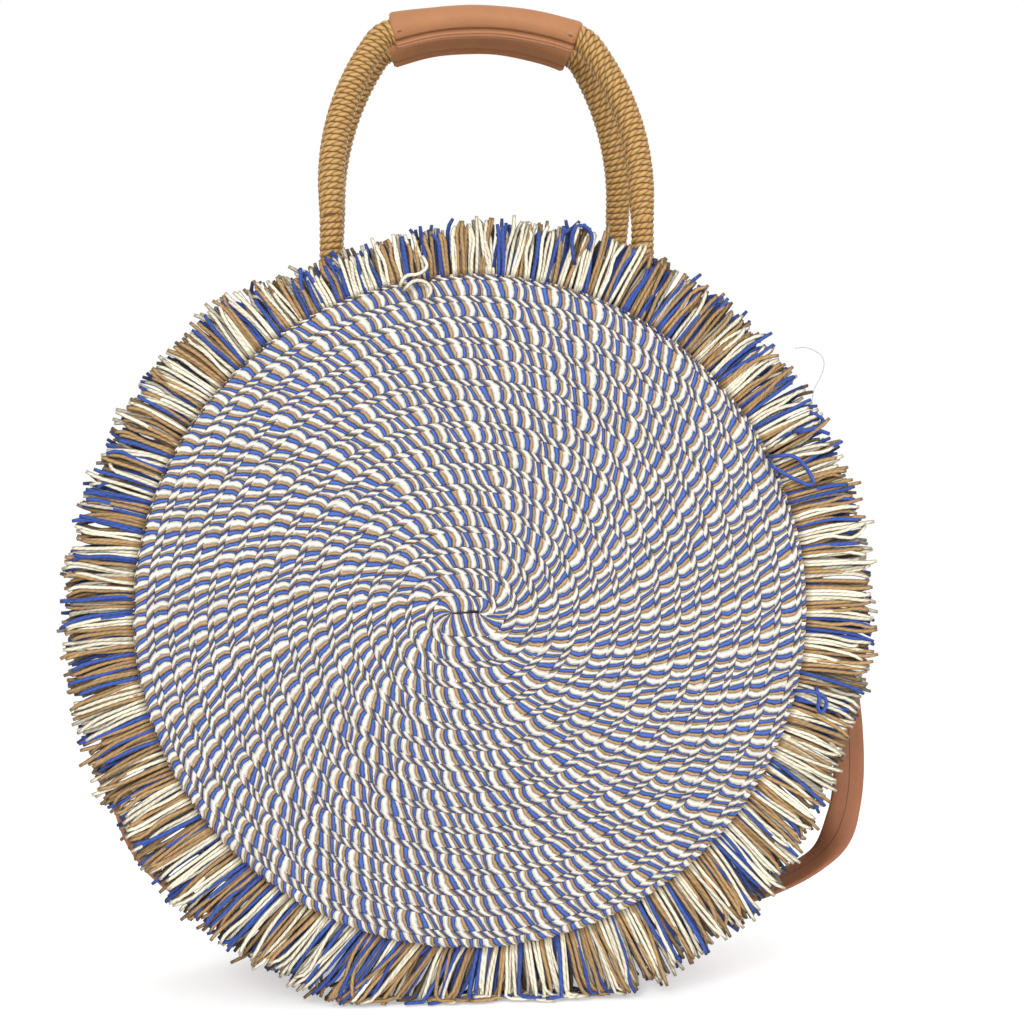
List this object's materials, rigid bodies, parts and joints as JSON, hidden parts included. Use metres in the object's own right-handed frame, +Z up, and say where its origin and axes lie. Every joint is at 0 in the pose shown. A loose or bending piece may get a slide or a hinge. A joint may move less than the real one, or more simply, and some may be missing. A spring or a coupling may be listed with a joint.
{
  "type": "circle bag",
  "caption": "Round handbag of spirally sewn braid discs with a yarn fringe, arched rope handles with leather grips, and a leather shoulder strap on rings.",
  "frame": {"origin": "on the floor, below the middle of the bag, between its two discs", "axes": "+X to the right of someone facing the front disc, +Y towards the back disc, +Z up"},
  "size_m": [0.4816, 0.138, 0.6033],
  "materials": {
    "braid": "matte braid",
    "yarn": "matte yarn",
    "lining": "plain weave",
    "rope": "twisted paper cord",
    "grip_leather": "smooth, satin",
    "strap_leather": "smooth, satin",
    "metal": "polished"
  },
  "bodies": {
    "bag": {"front_panel": "braid", "back_panel": "braid", "gusset": "braid", "front_fringe": "yarn", "back_fringe": "yarn", "front_lining": "lining", "back_lining": "lining", "gusset_lining": "lining", "inner_pocket": "lining", "front_left_handle_end": "rope", "front_right_handle_end": "rope", "back_left_handle_end": "rope", "back_right_handle_end": "rope", "front_left_anchor": "grip_leather", "front_right_anchor": "grip_leather", "back_left_anchor": "grip_leather", "back_right_anchor": "grip_leather", "left_strap_tab": "strap_leather", "right_strap_tab": "strap_leather", "shoulder_strap": "strap_leather", "snap_socket": "metal", "snap_stud": "metal"},
    "front_handle": {"front_handle_rope": "rope", "front_grip": "grip_leather"},
    "back_handle": {"back_handle_rope": "rope", "back_grip": "grip_leather"},
    "left_ring": {"left_strap_ring": "metal", "left_strap_end": "strap_leather", "left_strap_rivet": "metal"},
    "right_ring": {"right_strap_ring": "metal", "right_strap_end": "strap_leather", "right_strap_rivet": "metal"}
  },
  "joints": [
    {"name": "front_handle_swing", "type": "hinge", "parent": "bag", "child": "front_handle", "pos_m": [0.0085, -0.0487, 0.466], "axis": [1, 0, 0], "range_deg": [0, 95]},
    {"name": "back_handle_swing", "type": "hinge", "parent": "bag", "child": "back_handle", "pos_m": [0.007, 0.0487, 0.466], "axis": [-1, 0, 0], "range_deg": [0, 95]},
    {"name": "left_ring_swing", "type": "hinge", "parent": "bag", "child": "left_ring", "pos_m": [-0.17, 0, 0.3424], "axis": [0, 1, 0], "range_deg": [0, 90], "deforming": ["shoulder_strap"]},
    {"name": "right_ring_swing", "type": "hinge", "parent": "bag", "child": "right_ring", "pos_m": [0.17, 0, 0.3424], "axis": [0, -1, 0], "range_deg": [0, 90], "deforming": ["shoulder_strap"]}
  ]
}
